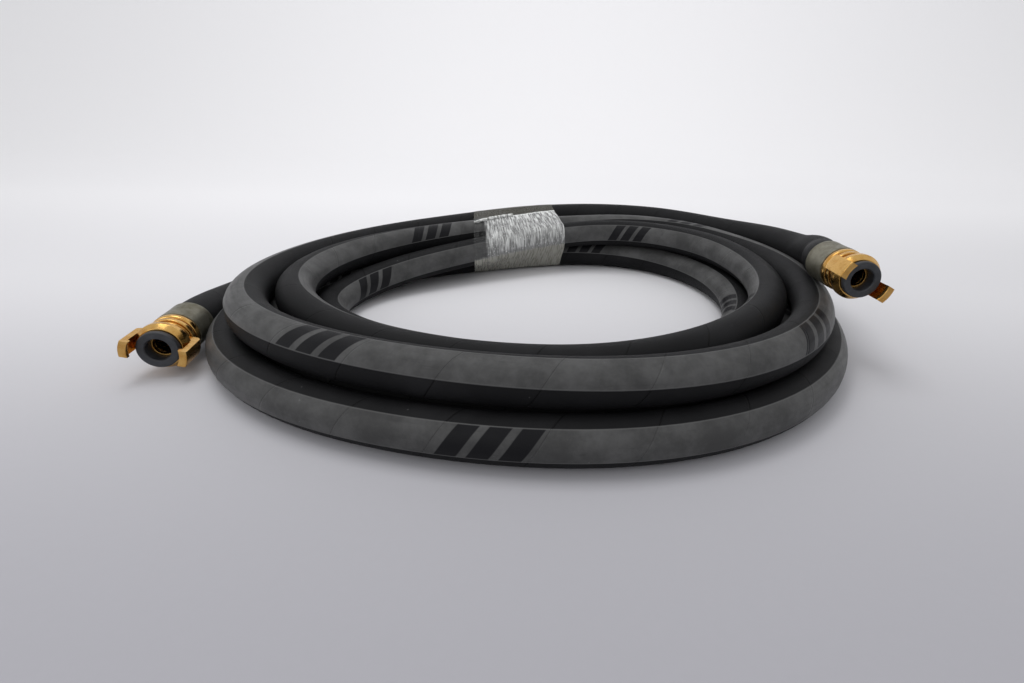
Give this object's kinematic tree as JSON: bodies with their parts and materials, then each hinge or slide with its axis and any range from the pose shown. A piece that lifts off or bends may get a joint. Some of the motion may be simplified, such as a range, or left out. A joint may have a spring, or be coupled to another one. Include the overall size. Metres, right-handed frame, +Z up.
{
  "type": "hydraulic hose assembly",
  "caption": "Coiled flexible rubber hose with a crimped, swivelling brass claw quick coupling at each end, tied at the back with a band of stretch film.",
  "frame": {"origin": "on the floor, under the middle of the object's box", "axes": "+Z up, -Y the way the couplings point, +X to the right as seen from in front of the couplings"},
  "size_m": [0.7222, 0.6384, 0.1133],
  "materials": {
    "cover_rubber": "matt black rubber cover with a fine cloth impression and a raised grey stripe",
    "ply_textile": "braided reinforcement",
    "liner_rubber": "smooth black rubber tube",
    "stretch_film": "thin translucent stretch film, crinkled",
    "ferrule_steel": "dull grey crimped sleeve",
    "brass": "bright pressed and turned brass",
    "seal_rubber": "dark slate moulded rubber",
    "spring_steel": "plain spring wire",
    "washer_plastic": "plain low-friction plastic"
  },
  "bodies": {
    "hose": {"hose_cover": "cover_rubber", "hose_reinforcement": "ply_textile", "hose_liner": "liner_rubber", "film_wrap": "stretch_film", "right_ferrule": "ferrule_steel", "right_stem": "brass", "right_rear_o_ring": "seal_rubber", "right_front_o_ring": "seal_rubber", "right_snap_ring": "spring_steel", "right_thrust_washer": "washer_plastic", "left_ferrule": "ferrule_steel", "left_stem": "brass", "left_rear_o_ring": "seal_rubber", "left_front_o_ring": "seal_rubber", "left_snap_ring": "spring_steel", "left_thrust_washer": "washer_plastic"},
    "right_head": {"right_claw_head": "brass", "right_face_seal": "seal_rubber"},
    "left_head": {"left_claw_head": "brass", "left_face_seal": "seal_rubber"}
  },
  "joints": [
    {"name": "right_swivel", "type": "hinge", "parent": "hose", "child": "right_head", "pos_m": [0.31433, -0.07904, 0.09194], "axis": [0, -1, 0], "continuous": true},
    {"name": "left_swivel", "type": "hinge", "parent": "hose", "child": "left_head", "pos_m": [-0.32919, -0.12351, 0.02781], "axis": [0.1961, -0.9806, 0], "continuous": true}
  ]
}
